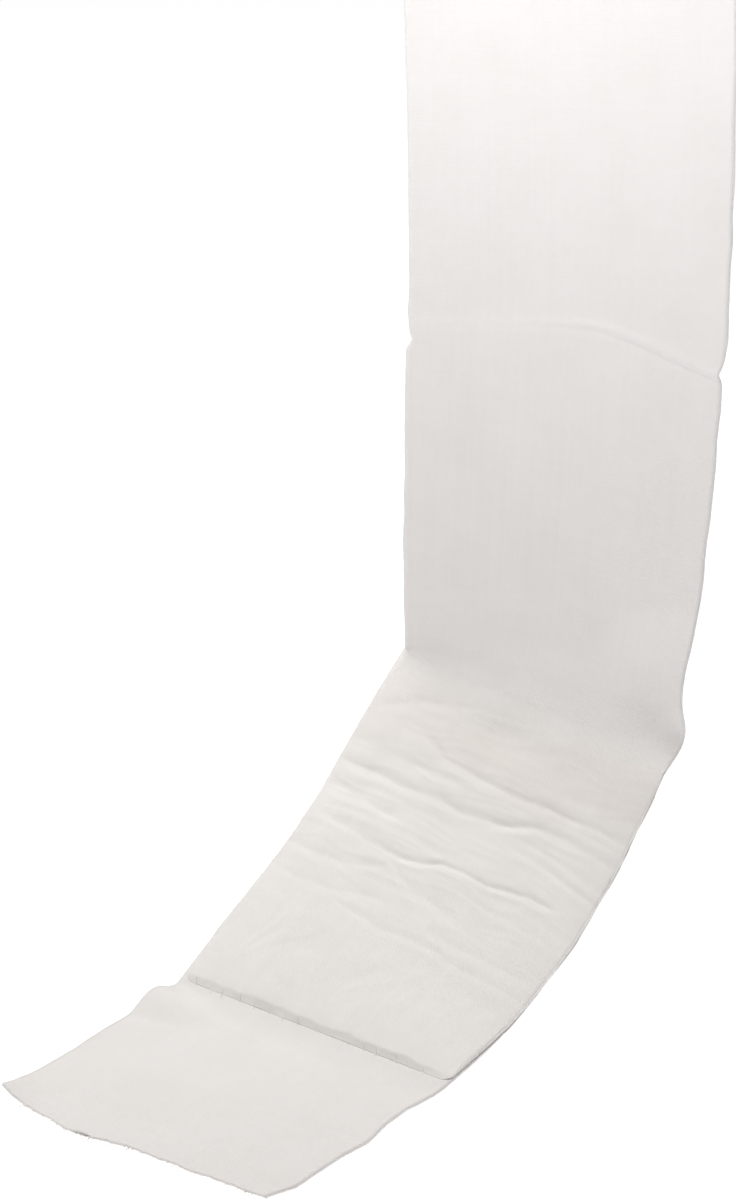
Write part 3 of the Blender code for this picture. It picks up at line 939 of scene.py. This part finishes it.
def thread_material():
    """Twisted cotton thread."""
    nodes = Nodes("cotton_thread")
    place = nodes.add("ShaderNodeTexCoord").outputs["Object"]
    mottle = nodes.noise(place, 900.0, 3.0, 0.6)
    colour = nodes.ramp(mottle, (0.3, (0.78, 0.76, 0.73)), (0.7, (0.88, 0.865, 0.84)))
    nodes.link(colour, nodes.shader.inputs["Base Color"])
    nodes.link(nodes.bump(mottle, 0.0001, 0.7), nodes.shader.inputs["Normal"])
    nodes.shader.inputs["Roughness"].default_value = 0.9
    nodes.shader.inputs["Specular IOR Level"].default_value = 0.2
    return nodes.material


# ---------------------------------------------------------------- floor, light and camera

FLOOR_SIZE = 8.0
FLOOR_CLEARANCE = 0.05 * MM
FLOOR_GREY = (0.4, 0.4, 0.4, 1.0)
FLOOR_GLOW = 0.89     # its own light makes it as white as the photo's background


def make_floor():
    bpy.ops.mesh.primitive_plane_add(size=FLOOR_SIZE, location=(0, 0, cad_low.z - FLOOR_CLEARANCE))
    floor = bpy.context.object
    floor.name = "floor"
    nodes = Nodes("white_floor")
    nodes.shader.inputs["Base Color"].default_value = FLOOR_GREY
    nodes.shader.inputs["Roughness"].default_value = 0.9
    nodes.shader.inputs["Emission Color"].default_value = (1.0, 1.0, 1.0, 1.0)
    nodes.shader.inputs["Emission Strength"].default_value = FLOOR_GLOW
    floor.data.materials.append(nodes.material)


def area_light(name, place, aim, width, height, power, colour):
    light = bpy.data.lights.new(name, "AREA")
    light.shape = "RECTANGLE"
    light.size = width
    light.size_y = height
    light.energy = power
    light.color = colour
    lamp = bpy.data.objects.new(name, light)
    lamp.location = place
    lamp.rotation_euler = (Vector(aim) - Vector(place)).to_track_quat("-Z", "Y").to_euler()
    bpy.context.scene.collection.objects.link(lamp)


class Lamp(NamedTuple):
    """A rectangular lamp: places and sizes in metres, power in watts."""

    name: str
    place: tuple
    aim: tuple
    width: float
    height: float
    power: float
    colour: tuple


AMBIENT = 0.1
LAMPS = (
    Lamp("overhead", (-0.25, -0.10, 1.1), (0.0, -0.06, -0.2), 0.5, 0.5, 10.1, (1.0, 1.0, 0.965)),
    Lamp("behind", (-0.25, 0.38, 1.0), (0.0, -0.06, -0.2), 0.6, 0.6, 2.5, (0.98, 0.99, 1.0)),
    Lamp("right", (0.9, 0.25, -0.05), (0.0, -0.08, -0.18), 0.5, 0.5, 1.8, (1.0, 1.0, 1.0)),
    Lamp("left_low", (-0.30, -0.34, -0.07), (0.0, -0.05, -0.16), 0.25, 0.25, 0.3, (1.0, 1.0, 1.0)),
    Lamp("near_top", (0.02, -0.12, 0.06), (0.01, 0.0, -0.02), 0.2, 0.03, 0.15, (0.94, 0.98, 1.0)),
)


def light_scene():
    world = bpy.data.worlds.new("white_studio")
    world.use_nodes = True
    background = world.node_tree.nodes["Background"]
    background.inputs["Color"].default_value = (1.0, 1.0, 1.0, 1.0)
    background.inputs["Strength"].default_value = AMBIENT
    bpy.context.scene.world = world
    for lamp in LAMPS:
        area_light(*lamp)
    bpy.context.scene.view_settings.view_transform = "Standard"


CAMERA_PLACE = (0.3812, -0.5738, 0.0920)
CAMERA_TURN = math.radians(37.33)
CAMERA_TILT = math.radians(19.85)
CAMERA_LENS = 90.0


def make_camera():
    data = bpy.data.cameras.new("view")
    data.lens = CAMERA_LENS
    data.sensor_width = 36.0
    data.clip_end = 20.0
    camera = bpy.data.objects.new("view", data)
    camera.location = CAMERA_PLACE
    camera.rotation_euler = Euler((math.pi / 2 - CAMERA_TILT, 0.0, CAMERA_TURN))
    bpy.context.scene.collection.objects.link(camera)
    bpy.context.scene.camera = camera


# ---------------------------------------------------------------- putting it together

def fit_piece(piece, material):
    piece.data.materials.append(material)
    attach(piece, "root")


def main():
    make_camera()
    make_floor()
    light_scene()
    bandage_gauze = gauze_material(
        "bandage_gauze_weave", light=(0.868, 0.832, 0.82), dark=(0.852, 0.815, 0.801),
        warp_pitch=0.45 * MM, weft_pitch=0.5 * MM, mottle_scale=60.0)
    # the pad's gauze has painted shade over its upper part
    pad_gauze = gauze_material(
        "pad_gauze_weave", light=(0.898, 0.862, 0.843), dark=(0.88, 0.843, 0.822),
        warp_pitch=0.4 * MM, weft_pitch=0.45 * MM, mottle_scale=90.0, top_shade=(0.95, 0.932, 0.926))
    thread = thread_material()

    bandage = make_bandage()
    fit_piece(bandage, bandage_gauze)
    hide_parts("gauze_bandage")

    pad = make_pad()
    fit_piece(pad, pad_gauze)
    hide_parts("wound_pad")

    foot_stitches = make_stitches("pad_foot_stitches", 5)
    tail_fray = make_fray("tail_end_fray", BANDAGE_LENGTH, 90, 7)
    top_fray = make_fray("top_end_fray", 0.0, 70, 8)
    fit_piece(foot_stitches, thread)
    for fray in (tail_fray, top_fray):
        fit_piece(fray, thread)


main()
